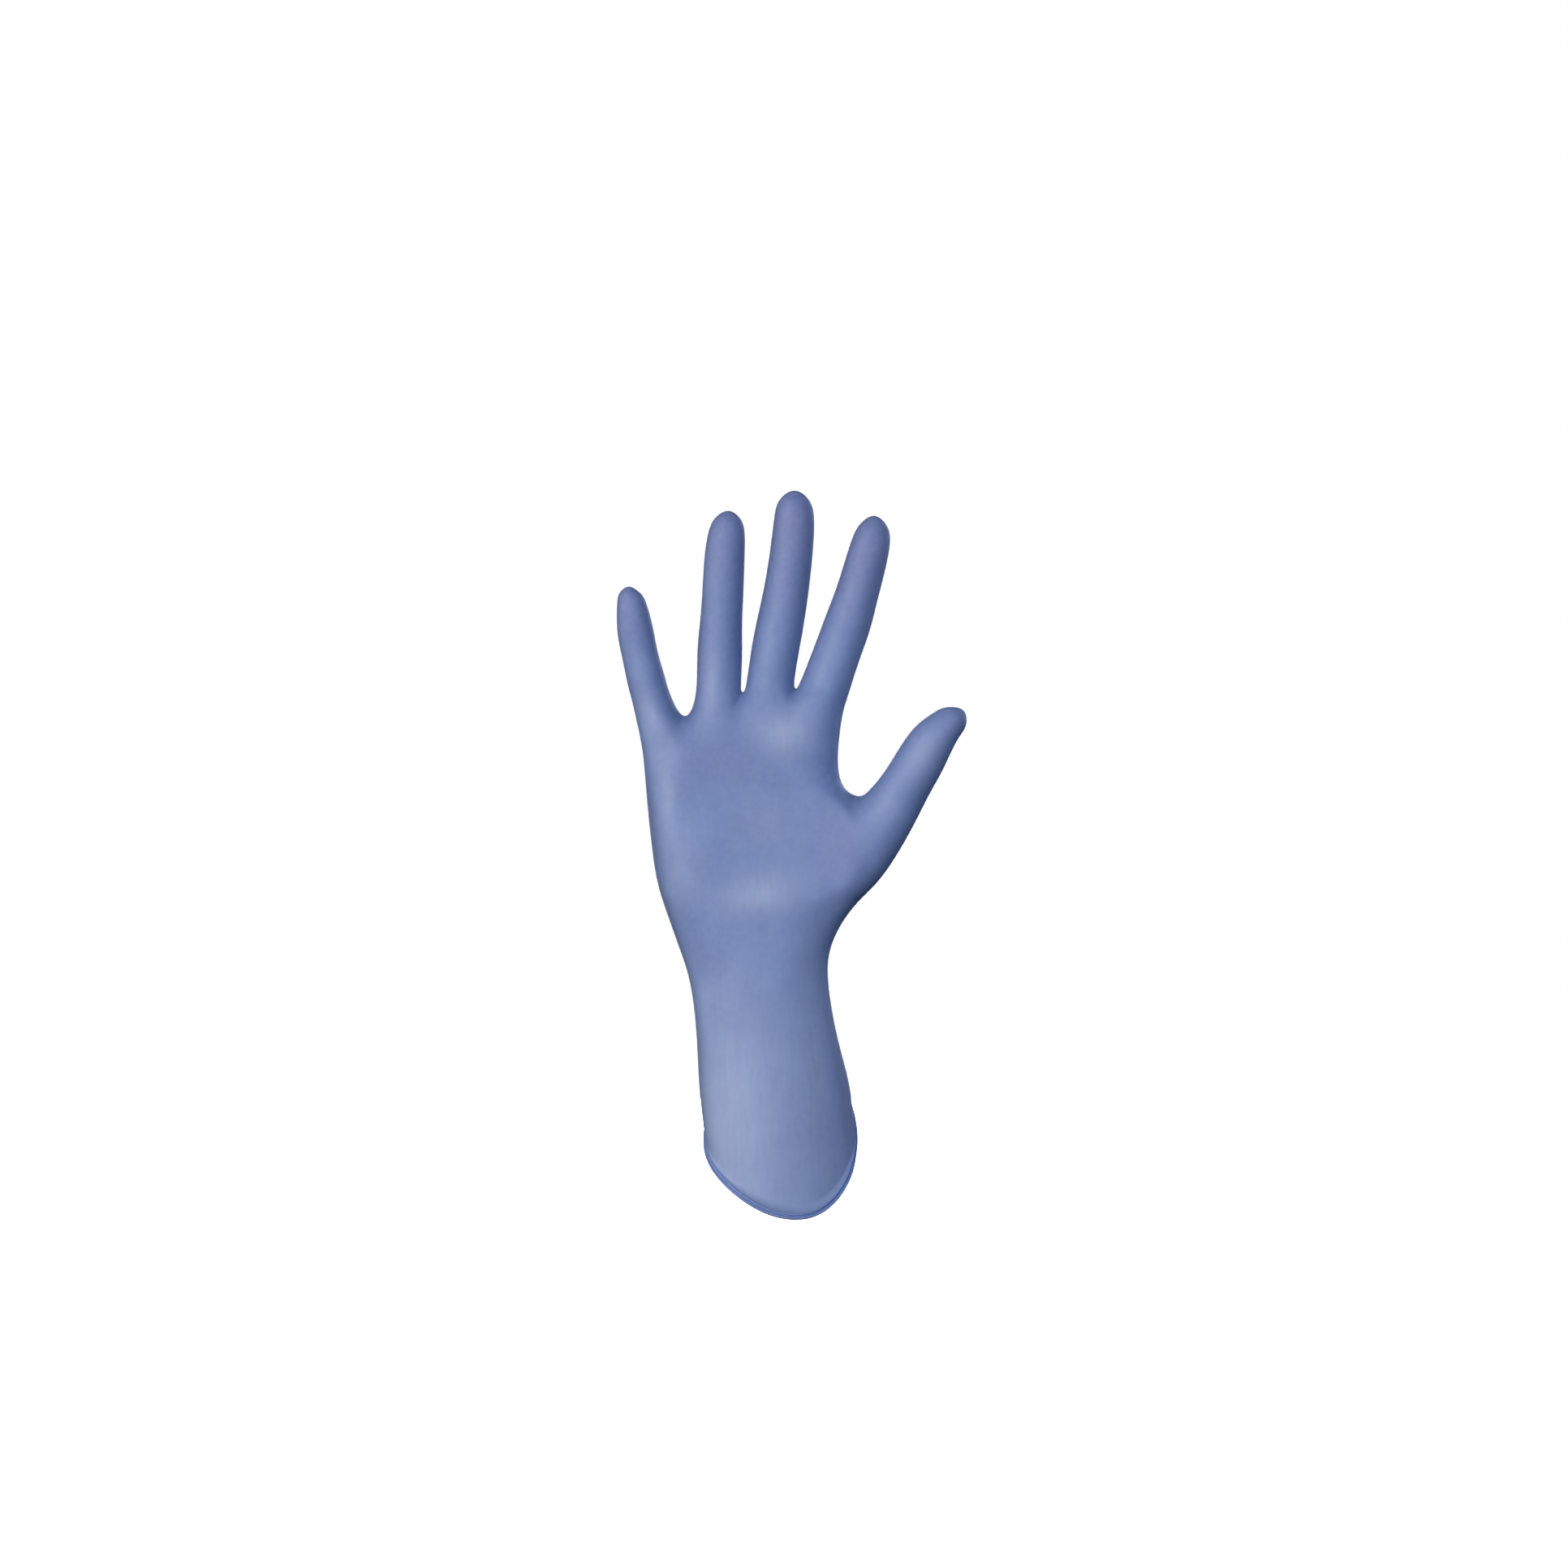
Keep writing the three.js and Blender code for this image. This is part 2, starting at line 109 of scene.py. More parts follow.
RING = "x y z lean halfWidth halfDepth"
FINGERS = {
    "little": (table(RING, [
        [-50.45, -1.0, 175.7, -16.1, 7.70, 8.3],
        [-52.76, -1.5, 184.0, -14.6, 7.48, 8.1],
        [-54.96, -2.3, 193.0, -12.0, 7.14, 7.4],
        [-56.64, -3.6, 201.5, -10.5, 7.14, 7.2],
        [-57.71, -5.0, 209.0, -8.4, 6.50, 6.6],
        [-58.56, -6.2, 214.8, -7.7, 5.42, 5.5],
        [-59.40, -6.9, 218.1, -7.0, 3.60, 3.7],
    ]), [-59.6, -7.3, 220.2]),
    "ring": (table(RING, [
        [-24.27, -0.8, 179.9, -13.0, 9.26, 9.4],
        [-23.71, -1.6, 193.5, 1.5, 8.86, 9.1],
        [-23.13, -2.4, 206.5, 2.7, 8.34, 8.5],
        [-22.37, -3.7, 219.5, 3.4, 8.12, 8.2],
        [-21.72, -5.4, 232.0, 4.3, 7.90, 7.6],
        [-20.88, -6.9, 241.5, 3.7, 7.10, 6.7],
        [-20.36, -7.8, 247.0, 3.2, 4.90, 4.6],
    ]), [-20.2, -8.3, 249.9]),
    "middle": (table(RING, [
        [-3.76, -0.9, 183.0, -5.5, 9.62, 9.6],
        [-1.74, -1.6, 196.0, 8.5, 9.38, 9.6],
        [0.72, -2.0, 209.0, 10.5, 9.16, 8.9],
        [2.96, -3.1, 222.0, 8.5, 8.74, 8.7],
        [4.68, -4.3, 235.5, 5.5, 8.38, 8.1],
        [5.62, -5.8, 247.5, 1.9, 7.82, 7.3],
        [5.66, -6.8, 254.4, 0.5, 5.66, 5.2],
    ]), [5.7, -7.2, 257.9]),
    "index": (table(RING, [
        [17.42, -0.9, 180.3, 15.7, 9.86, 9.8],
        [22.04, -1.5, 193.1, 19.0, 9.34, 9.4],
        [26.68, -2.0, 206.0, 18.9, 9.16, 8.9],
        [30.30, -3.0, 217.5, 16.6, 8.50, 8.6],
        [33.57, -4.3, 229.0, 14.7, 8.14, 8.0],
        [36.05, -5.7, 239.0, 10.3, 7.34, 7.1],
        [37.06, -6.6, 244.8, 7.8, 4.98, 4.8],
    ]), [37.3, -7.0, 248.0]),
    "thumb": (table(RING, [
        [42.93, -5.8, 131.9, 44.9, 11.50, 11.0],
        [49.41, -8.5, 142.4, 31.0, 9.94, 10.6],
        [55.03, -10.2, 152.0, 30.5, 9.58, 9.8],
        [60.22, -11.8, 160.4, 36.4, 8.58, 8.7],
        [65.40, -12.8, 166.1, 43.0, 6.88, 7.2],
        [69.00, -13.4, 169.3, 42.0, 5.15, 5.4],
    ]), [71.7, -13.8, 171.6]),
}

# Soft forms raised (or sunk, where the height is negative) on one side of the film: an
# oval of two radii, turned by an angle from +X towards +Z.
FORMS = table("side x z radiusX radiusZ turn height", [
    ["front", 1.9, 163.0, 9.5, 9.0, 0, 0.8],       # pad under the middle finger
    ["front", -24.0, 147.5, 13.0, 10.0, 10, -0.5],  # hollow of the palm
    ["front", -6.5, 101.0, 15.0, 9.5, 10, 0.8],     # heel, where the film is stretched
])

# Narrow creases in the film: a line of points with a half width and a depth.
CREASES = [
    {"side": "front", "width": 1.3, "depth": 0.75,
     "line": [(-15.2, 176.8), (-16.6, 174.4), (-18.9, 172.4)]},
    {"side": "front", "width": 1.1, "depth": 0.55,
     "line": [(5.2, 179.6), (4.2, 178.0), (2.8, 176.9)]},
]

# Section of the bead, a roll of film at the rim, from the outer surface down round the rim to the
# inner surface:
# out from the outer surface, down past the end of the film, and how deep its blue is: deep in the
# groove and underside as painted shade, light on the two ridges as painted highlight.
BEAD = table("out down deep", [
    [0.00, 0.00, 0.3], [0.24, 0.02, 0.9], [0.58, 0.14, 0.5], [0.78, 0.38, 0.0],
    [0.66, 0.62, 0.5], [0.42, 0.80, 1.0], [0.34, 1.02, 1.0], [0.40, 1.24, 1.0],
    [0.68, 1.42, 0.9], [0.98, 1.62, 0.3], [1.04, 1.90, 0.0], [0.84, 2.20, 0.5],
    [0.42, 2.42, 0.9], [-0.08, 2.48, 0.9], [-0.58, 2.30, 0.8],
    [-0.94, 1.92, 0.8], [-1.08, 1.44, 0.8], [-1.00, 1.00, 0.9], [-0.92, 0.66, 0.9],
    [-0.98, 0.32, 0.6], [-1.00, 0.00, 0.3],
])
BEAD_PER_POINT = 2


# ---------------------------------------------------------------- the cage
def across_depth(u, left, middle, right):
    t = (min(max(u, 0.1), 0.9) - 0.5) / 0.3
    return middle + (right - left) / 2 * t + ((left + right) / 2 - middle) * t * t


def palm_row(row):
    points = {"SL": (row["xLeft"], 0, row["zLeft"]), "SR": (row["xRight"], 0, row["zRight"])}
    for j, u in enumerate(ACROSS):
        n = row["fullness"]
        full = (1 - abs(2 * u - 1) ** n) ** (1 / n)
        bow = 2 * math.sqrt(u * (1 - u)) * (1 + CUFF_SKEW * (2 * u - 1))
        x = row["xLeft"] + (row["xRight"] - row["xLeft"]) * u
        z = row["zLeft"] + (row["zRight"] - row["zLeft"]) * u
        points[f"F{j}"] = (
            x, -full * across_depth(u, row["frontL"], row["frontM"], row["frontR"]),
            z - row["drop"] * bow)
        points[f"B{j}"] = (
            x, full * across_depth(u, row["backL"], row["backM"], row["backR"]),
            z + row["rise"] * bow)
    return points


def foot_row():
    points = {"SL": FOOT_SIDES["left"], "SR": FOOT_SIDES["right"]}
    for j, column in enumerate(FOOT):
        points[f"F{j}"] = (column["x"], column["yFront"], column["zFront"])
        points[f"B{j}"] = (column["x"], column["yBack"], column["zBack"])
    return points


def finger_ring(ring):
    lean = math.radians(ring["lean"])
    side = np.array([math.cos(lean), 0, -math.sin(lean)])
    centre = np.array([ring["x"], ring["y"], ring["z"]])
    points = []
    for degrees in (135, 90, 45, 0, -45, -90, -135, 180):
        a = math.radians(degrees)
        points.append(centre + side * ring["halfWidth"] * math.cos(a)
                      + np.array([0, -1, 0]) * ring["halfDepth"] * math.sin(a))
    return points


def build_cage():
    points, quads = [], []

    def add(point):
        points.append(np.array(point, float))
        return len(points) - 1

    around = ([f"F{j}" for j in range(LAST + 1)] + ["SR"]
              + [f"B{LAST - j}" for j in range(LAST + 1)] + ["SL"])
    rows = [foot_row()] + [palm_row(row) for row in PALM]
    for spot in THUMB_FOOT:
        rows[spot["row"]][spot["column"]] = (spot["x"], spot["y"], spot["z"])

    def hole(row, column):
        return row == THUMB_ROW and column == "SR"

    index = [{name: add(row[name]) for name in around if not hole(k, name)}
             for k, row in enumerate(rows)]
    web = {w["column"]: add((w["x"], w["y"], w["z"])) for w in WEBS}
    for k in range(len(rows) - 1):
        for i, a in enumerate(around):
            b = around[(i + 1) % len(around)]
            if not (hole(k, a) or hole(k, b) or hole(k + 1, a) or hole(k + 1, b)):
                quads.append((index[k][a], index[k + 1][a], index[k + 1][b], index[k][b]))

    def grow(loop, finger):
        rings, tip = finger
        below = loop
        for ring in rings:
            above = [add(p) for p in finger_ring(ring)]
            for i in range(8):
                j = (i + 1) % 8
                quads.append((above[i], below[i], below[j], above[j]))
            below = above
        end = add(tip)
        for a, b, c in ((7, 0, 1), (1, 2, 3), (3, 4, 5), (5, 6, 7)):
            quads.append((end, below[a], below[b], below[c]))

    foot = index[0]

    def loop_of(first, left, right):
        return [foot[f"F{first}"], foot[f"F{first + 1}"], foot[f"F{first + 2}"], right,
                foot[f"B{first + 2}"], foot[f"B{first + 1}"], foot[f"B{first}"], left]

    grow(loop_of(0, foot["SL"], web[2]), FINGERS["little"])
    grow(loop_of(2, web[2], web[4]), FINGERS["ring"])
    grow(loop_of(4, web[4], web[6]), FINGERS["middle"])
    grow(loop_of(6, web[6], foot["SR"]), FINGERS["index"])
    high, middle, low = index[THUMB_ROW - 1], index[THUMB_ROW], index[THUMB_ROW + 1]
    grow([high["F8"], middle["F8"], low["F8"], low["SR"],
          low["B8"], middle["B8"], high["B8"], high["SR"]], FINGERS["thumb"])
    return np.array(points), np.array(quads)


# ---------------------------------------------------------------- the subdivision surface
def edges_of(quads):
    pairs = np.sort(np.stack([quads, np.roll(quads, -1, axis=1)], 2).reshape(-1, 2), axis=1)
    edges, side, count = np.unique(pairs, axis=0, return_inverse=True, return_counts=True)
    return edges, side.reshape(quads.shape), count


def rim_sums(points, edges, count):
    total, met = np.zeros_like(points), np.zeros(len(points), int)
    for a, b in edges[count == 1]:
        total[a] += points[b]
        total[b] += points[a]
        met[[a, b]] += 1
    return total, met > 0


def on_surface(points, quads):
    edges, _, count = edges_of(quads)
    n = np.bincount(edges.ravel(), minlength=len(points))[:, None]
    edge, face = np.zeros_like(points), np.zeros_like(points)
    np.add.at(edge, edges[:, 0], points[edges[:, 1]])
    np.add.at(edge, edges[:, 1], points[edges[:, 0]])
    for i in range(4):
        np.add.at(face, quads[:, i], points[quads[:, (i + 2) % 4]])
    rim, on_rim = rim_sums(points, edges, count)
    placed = (n * n * points + 4 * edge + face) / (n * (n + 5))
    placed[on_rim] = (4 * points[on_rim] + rim[on_rim]) / 6
    return placed


def divide(points, quads):
    edges, side, count = edges_of(quads)
    centres = points[quads].mean(1)
    middles = points[edges].mean(1)
    near = np.zeros_like(middles)
    for i in range(4):
        np.add.at(near, side[:, i], centres)
    edge_points = np.where((count == 1)[:, None], middles, (2 * middles + near) / 4)
    n = np.bincount(quads.ravel(), minlength=len(points))[:, None]
    met = np.bincount(edges.ravel(), minlength=len(points))[:, None]
    faces, spokes = np.zeros_like(points), np.zeros_like(points)
    for i in range(4):
        np.add.at(faces, quads[:, i], centres)
    for i in range(2):
        np.add.at(spokes, edges[:, i], middles)
    moved = (faces / n + 2 * spokes / met + (n - 3) * points) / n
    rim, on_rim = rim_sums(points, edges, count)
    moved[on_rim] = (6 * points[on_rim] + rim[on_rim]) / 8
    first_edge, first_face = len(points), len(points) + len(edges)
    face = first_face + np.arange(len(quads))
    parts = [np.stack([quads[:, i], first_edge + side[:, i], face,
                       first_edge + side[:, (i + 3) % 4]], 1) for i in range(4)]
    return np.vstack([moved, edge_points, centres]), np.stack(parts, 1).reshape(-1, 4)


def normals_of(points, quads):
    p, q, r, s = (points[quads[:, i]] for i in range(4))
    across = np.cross(r - p, s - q)
    normals = np.zeros_like(points)
    for i in range(4):
        np.add.at(normals, quads[:, i], across)
    return normals / np.linalg.norm(normals, axis=1, keepdims=True)


# ---------------------------------------------------------------- relief of the film
def facing(normals, side):
    """1 where the surface faces that side, easing to 0 at the silhouette."""
    y = normals[:, 1] if side == "back" else -normals[:, 1]
    t = np.clip((y + 0.05) / 0.5, 0, 1)
    return t * t * (3 - 2 * t)


def oval(points, form):
    turn = math.radians(form["turn"])
    dx, dz = points[:, 0] - form["x"], points[:, 2] - form["z"]
    a = (dx * math.cos(turn) + dz * math.sin(turn)) / form["radiusX"]
    b = (-dx * math.sin(turn) + dz * math.cos(turn)) / form["radiusZ"]
    return np.exp(-(a * a + b * b))


def from_line(points, line):
    """Distance in the XZ plane to a line of points, and how far along it."""
    p = points[:, [0, 2]]
    best = np.full(len(p), 1e9)
    along = np.zeros(len(p))
    line = np.array(line, float)
    lengths = np.linalg.norm(np.diff(line, axis=0), axis=1)
    total = lengths.sum()
    done = 0.0
    for a, b, length in zip(line, line[1:], lengths):
        t = np.clip((p - a) @ (b - a) / length ** 2, 0, 1)
        d = np.linalg.norm(p - a - t[:, None] * (b - a), axis=1)
        closer = d < best
        best[closer] = d[closer]
        along[closer] = (done + t[closer] * length) / total
        done += length
    return best, along


def relief(points, normals):
    height = np.zeros(len(points))
    for form in FORMS:
        height += form["height"] * oval(points, form) * facing(normals, form["side"])
    for crease in CREASES:
        distance, along = from_line(points, crease["line"])
        fade = np.sin(math.pi * np.clip(along * 0.9 + 0.05, 0, 1)) ** 0.5
        height -= (crease["depth"] * fade * np.exp(-(distance / crease["width"]) ** 2)
                   * facing(normals, crease["side"]))
    return height


# ---------------------------------------------------------------- the film
def smooth_section(rows, per_point):
    p = np.array([[row["out"], row["down"], row["deep"]] for row in rows])
    p = np.vstack([2 * p[0] - p[1], p, 2 * p[-1] - p[-2]])
    curve = []
    for i in range(1, len(p) - 2):
        for k in range(per_point):
            t = k / per_point
            a, b, c, d = p[i - 1:i + 3]
            curve.append(0.5 * (2 * b + (c - a) * t + (2 * a - 5 * b + 4 * c - d) * t * t
                                + (3 * b - a - 3 * c + d) * t ** 3))
    curve.append(p[-2])
    return np.array(curve)


def make_film():
    cage, quads = build_cage()
    points = cage.copy()
    for _ in range(SOLVE_STEPS):
        points += 0.9 * (cage - on_surface(points, quads))
    for _ in range(DIVISIONS):
        points, quads = divide(points, quads)
    points = on_surface(points, quads)
    normals = normals_of(points, quads)
    inner = points - normals * FILM
    height = relief(points, normals)
    points = points + normals * height[:, None]
    inner = inner + normals * height[:, None]
    count = len(points)

    # The rim, as directed edges of the outer surface.
    edges, side, met = edges_of(quads)
    following, inward = {}, {}
    for f, i in zip(*np.nonzero(met[side] == 1)):
        a, b = int(quads[f, i]), int(quads[f, (i + 1) % 4])
        following[a] = b
        inward[a] = int(quads[f, (i + 3) % 4])
    before = {b: a for a, b in following.items()}
    start = next(iter(following))
    loop = [start]
    while following[loop[-1]] != start:
        loop.append(following[loop[-1]])
    here = points[loop]
    along = points[[following[a] for a in loop]] - points[[before[a] for a in loop]]
    down = np.cross(normals[loop], along)
    down /= np.linalg.norm(down, axis=1, keepdims=True)
    wrong = ((points[[inward[a] for a in loop]] - here) * down).sum(1) > 0
    down[wrong] *= -1

    # The roll is never quite even: its swell and its groove drift along the rim.
    step = np.linalg.norm(np.roll(here, -1, axis=0) - here, axis=1)
    turn = 2 * math.pi * np.concatenate([[0], np.cumsum(step)[:-1]]) / step.sum()
    rng = np.random.default_rng(SEED)
    phase = rng.uniform(0, 2 * math.pi, 6)
    swell = 1 + 0.06 * np.sin(5 * turn + phase[0]) + 0.05 * np.sin(13 * turn + phase[1])
    drift = 0.07 * np.sin(4 * turn + phase[2]) + 0.05 * np.sin(9 * turn + phase[3])
    section = smooth_section(BEAD, BEAD_PER_POINT)
    rings = [np.array(loop)]
    extra = []
    size = 2 * count
    for k, (out, low, _) in enumerate(section[1:-1]):
        ease = math.sin(math.pi * (k + 1) / (len(section) - 1))
        grown = out * (1 + (swell - 1) * ease) if out > 0 else np.full(len(loop), out)
        lowered = low + drift * ease * (0.2 < low < 1.9)
        extra.append(here + normals[loop] * grown[:, None] + down * lowered[:, None])
        rings.append(size + np.arange(len(loop)))
        size += len(loop)
    rings.append(np.array(loop) + count)

    faces = [quads, quads[:, ::-1] + count]
    for upper, lower in zip(rings, rings[1:]):
        faces.append(np.stack([np.roll(upper, -1), upper, lower, np.roll(lower, -1)], 1))
    vertices = np.vstack([points, inner] + extra)
    deep = np.repeat(np.clip(section[1:-1, 2], 0, 1), len(loop))
    return vertices, np.vstack(faces), normals, count, deep


# Paler film where it is stretched, and painted highlights where the light falls on the pads, the
# heel, the ridges of the palm, the palm's slope to the heel, the finger bases, the thumb and the
# cuff, as soft ovals.
STRETCH_AND_HIGHLIGHT = table("side x z radiusX radiusZ turn height", [
    ["front", 2.0, 163.0, 8.0, 8.5, 0, 0.8],
    ["front", -7.0, 100.5, 14.0, 8.0, 12, 0.7],
    ["front", -44.0, 142.0, 4.5, 16.0, -4, 0.35],
    ["front", -38.5, 114.0, 5.0, 16.0, -20, 0.25],
    ["front", -50.5, 168.0, 4.0, 12.0, 12, 0.3],
    ["front", -27.0, 181.0, 4.0, 13.0, 0, 0.3],
    ["front", 42.5, 134.0, 6.0, 9.0, -30, 0.12],
    ["front", 56.5, 154.0, 5.0, 9.0, -30, 0.4],
    ["front", -15.0, 16.0, 17.0, 32.0, -4, 0.45],
    # painted light: a paler band on the right of the cuff, lifting its shaded side
    ["front", 13.5, 34.0, 6.5, 46.0, 4, 0.26],
    ["front", -8.0, 126.0, 17.0, 13.0, 0, 0.22],
    ["front", -36.0, 104.0, 6.0, 10.0, -20, 0.2],
])
# Violet tint of the finger pads, as soft ovals, and painted shade of the same violet in the palm
# hollow, where the thenar turns away and along the cuff's right edge.
VIOLET_AND_SHADE = table("side x z radiusX radiusZ turn height", [
    ["front", 6.5, 244.0, 9.0, 22.0, 0, 1.0],
    ["front", -20.5, 240.0, 8.0, 16.0, 0, 0.8],
    ["front", 34.5, 232.0, 9.0, 24.0, -14, 1.0],
    ["front", -57.5, 209.0, 7.0, 13.0, 8, 0.5],
    ["front", 68.0, 167.5, 8.0, 8.0, -38, 0.5],
    # painted shade in the palm hollow
    ["front", -24.0, 150.0, 12.0, 9.0, 0, 0.35],
    ["front", 56.0, 151.0, 6.0, 10.0, -32, 0.3],
    ["front", -50.0, 170.0, 5.0, 12.0, 10, 0.25],
    ["front", -26.0, 181.0, 5.0, 12.0, 0, 0.25],
    ["front", 6.0, 216.0, 7.0, 14.0, 0, 0.3],
    # painted shade along the cuff's right edge
    ["front", 26.5, 22.0, 4.5, 46.0, 8, 0.7],
    # painted shade where the thenar turns away from the light
    ["front", 24.0, 117.0, 11.0, 13.0, 0, 0.7],
    ["back", -5.0, 150.0, 30.0, 30.0, 0, 0.2],
])


def amount(points, normals, rows):
    total = np.zeros(len(points))
    for row in rows:
        total += row["height"] * oval(points, row) * facing(normals, row["side"])
    return np.clip(total, 0, 1)


def make_object():
    vertices, faces, normals, count, deep = make_film()
    mesh = bpy.data.meshes.new("glove_film")
    mesh.vertices.add(len(vertices))
    mesh.vertices.foreach_set("co", (vertices * MM).astype(np.float32).ravel())
    mesh.loops.add(faces.size)
    mesh.loops.foreach_set("vertex_index", faces.astype(np.int32).ravel())
    mesh.polygons.add(len(faces))
    mesh.polygons.foreach_set("loop_start", np.arange(0, faces.size, 4, dtype=np.int32))
    mesh.update(calc_edges=True)
    mesh.validate()
    mesh.polygons.foreach_set("use_smooth", np.ones(len(faces), bool))
    for name, rows in (("stretch_and_highlight", STRETCH_AND_HIGHLIGHT), ("violet_and_shade", VIOLET_AND_SHADE)):
        values = np.zeros(len(vertices), np.float32)
        values[:count] = amount(vertices[:count], normals, rows)
        mesh.attributes.new(name, "FLOAT", "POINT").data.foreach_set("value", values)
    bead_depth_and_groove_shade = np.zeros(len(vertices), np.float32)
    bead_depth_and_groove_shade[2 * count:] = 0.05 + 0.95 * deep
    mesh.attributes.new("bead_depth_and_groove_shade", "FLOAT", "POINT").data.foreach_set("value", bead_depth_and_groove_shade)
    bead = np.zeros(len(vertices), np.float32)
    bead[2 * count:] = 1
    mesh.attributes.new("bead", "FLOAT", "POINT").data.foreach_set("value", bead)
    mesh.update()
    film = bpy.data.objects.new("glove_film", mesh)
    bpy.context.scene.collection.objects.link(film)
    return film


# ---------------------------------------------------------------- the nitrile
def nitrile():
    material = bpy.data.materials.new("nitrile_film")
    material.use_nodes = True
    nodes, links = material.node_tree.nodes, material.node_tree.links
    nodes.clear()

    def node(kind, **values):
        made = nodes.new(kind)
        for key, value in values.items():
            if key in made.inputs:
                made.inputs[key].default_value = value
            else:
                setattr(made, key, value)
        return made

    def noise(scale, detail, roughness=0.55):
        made = node("ShaderNodeTexNoise", Scale=scale, Detail=detail, Roughness=roughness)
        links.new(where.outputs["Object"], made.inputs["Vector"])
        return made.outputs["Fac"]

    def mix(factor, a, b, kind="MIX"):
        made = node("ShaderNodeMix", data_type="RGBA", blend_type=kind)
        for socket, value in ((made.inputs[0], factor), (made.inputs[6], a), (made.inputs[7], b)):
            if isinstance(value, bpy.types.NodeSocket):
                links.new(value, socket)
            else:
                socket.default_value = value
        return made.outputs[2]

    def spread(value, low, high, to_low, to_high):
        made = node("ShaderNodeMapRange", clamp=True)
        links.new(value, made.inputs["Value"])
        made.inputs["From Min"].default_value = low
        made.inputs["From Max"].default_value = high
        made.inputs["To Min"].default_value = to_low
        made.inputs["To Max"].default_value = to_high
        return made.outputs["Result"]

    def attribute(name):
        return node("ShaderNodeAttribute", attribute_name=name).outputs["Fac"]

    where = node("ShaderNodeTexCoord")
    blue = (0.170, 0.238, 0.452, 1)
    deep = (0.134, 0.189, 0.385, 1)
    # pale: the paler, stretched film, and also the colour of the painted highlights
    pale_and_highlight = (0.330, 0.384, 0.545, 1)
    # violet: the tint of the finger pads, and also the colour of the painted shade
    violet_and_shade = (0.150, 0.175, 0.360, 1)
    # bead: the bead's deeper blue, and also the colour of the painted shade in its groove and
    # underside
    bead = (0.090, 0.165, 0.435, 1)

    drawn = node("ShaderNodeMapping")      # flow marks run along the dipped film
    drawn.inputs["Scale"].default_value = (1.0, 1.0, 0.09)
    links.new(where.outputs["Object"], drawn.inputs["Vector"])
    streaks = node("ShaderNodeTexNoise", Scale=620, Detail=3, Roughness=0.6)
    links.new(drawn.outputs["Vector"], streaks.inputs["Vector"])
    flow = streaks.outputs["Fac"]

    clouds = spread(noise(38, 3), 0.35, 0.65, 0, 1)
    mottle = spread(noise(420, 4), 0.35, 0.7, 0, 1)
    colour = mix(clouds, blue, deep)
    height = node("ShaderNodeSeparateXYZ")  # deeper towards the fingers, paler towards the cuff
    links.new(where.outputs["Object"], height.inputs["Vector"])
    colour = mix(spread(height.outputs["Z"], 0.165, 0.25, 0.0, 0.7), colour, deep)
    colour = mix(spread(height.outputs["Z"], 0.0, 0.10, 0.30, 0.0), colour, pale_and_highlight)
    # violet of the finger pads, with painted shade in the palm hollow, on the thenar and along the
    # cuff's right edge
    colour = mix(attribute("violet_and_shade"), colour, violet_and_shade)
    # paler stretched film, with painted highlights on the pads, heel, palm ridges, finger bases,
    # thumb and cuff
    colour = mix(attribute("stretch_and_highlight"), colour, pale_and_highlight)
    colour = mix(spread(mottle, 0, 1, 0.0, 0.12), colour, pale_and_highlight)
    colour = mix(spread(flow, 0.4, 0.7, 0.0, 0.16), colour, deep)
    bead_depth_and_groove_shade = attribute("bead_depth_and_groove_shade")            # the bead is many turns thick, so it is deeper; deeper still in its groove and underside as painted shade, lighter on its ridges as painted highlight
    colour = mix(spread(bead_depth_and_groove_shade, 0, 1, 0.0, 0.65), colour, bead)

    shader = node("ShaderNodeBsdfPrincipled")
    shader.inputs["Specular IOR Level"].default_value = 0.36
    shader.inputs["IOR"].default_value = 1.5
    shader.inputs["Sheen Weight"].default_value = 0.0
    links.new(colour, shader.inputs["Base Color"])
    satin = spread(noise(160, 3), 0.3, 0.7, 0.46, 0.54)
    shine = node("ShaderNodeMath", operation="MULTIPLY_ADD")  # and the bead is tighter
    links.new(attribute("bead"), shine.inputs[0])
    shine.inputs[1].default_value = -0.24
    links.new(satin, shine.inputs[2])
    links.new(shine.outputs[0], shader.inputs["Roughness"])

    # Bump, coarse to fine: the slight unevenness of a dipped film, then its matt grain.
    heights = (
        (noise(70, 2), 0.30, 0.00020),
        (flow, 0.25, 0.00005),
        (noise(650, 3), 0.35, 0.00004),
        (noise(3200, 2, 0.6), 0.5, 0.000016),
    )
    normal = None
    for value, strength, distance in heights:
        bump = node("ShaderNodeBump", Strength=strength, Distance=distance)
        links.new(value, bump.inputs["Height"])
        if normal is not None:
            links.new(normal, bump.inputs["Normal"])
        normal = bump.outputs["Normal"]
    links.new(normal, shader.inputs["Normal"])
    output = node("ShaderNodeOutputMaterial")
    links.new(shader.outputs["BSDF"], output.inputs["Surface"])
    return material


film = make_object()
film.data.materials.append(nitrile())
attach(film, "root")
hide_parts("glove_shell")


# ---------------------------------------------------------------- floor, light and camera
FLOOR_Z = -0.150

floor_mesh = bpy.data.meshes.new("floor")
floor_mesh.from_pydata([(-6, -6, FLOOR_Z), (6, -6, FLOOR_Z), (6, 6, FLOOR_Z), (-6, 6, FLOOR_Z)],
                       [], [(0, 1, 2, 3)])
floor = bpy.data.objects.new("floor", floor_mesh)
bpy.context.scene.collection.objects.link(floor)
paper = bpy.data.materials.new("pale_floor")
paper.use_nodes = True
paper_shader = paper.node_tree.nodes["Principled BSDF"]
paper_shader.inputs["Base Color"].default_value = (0.9, 0.9, 0.9, 1)
paper_shader.inputs["Roughness"].default_value = 0.9
paper_shader.inputs["Emission Color"].default_value = (1, 1, 1, 1)
floor_nodes, floor_links = paper.node_tree.nodes, paper.node_tree.links
place = floor_nodes.new("ShaderNodeTexCoord")
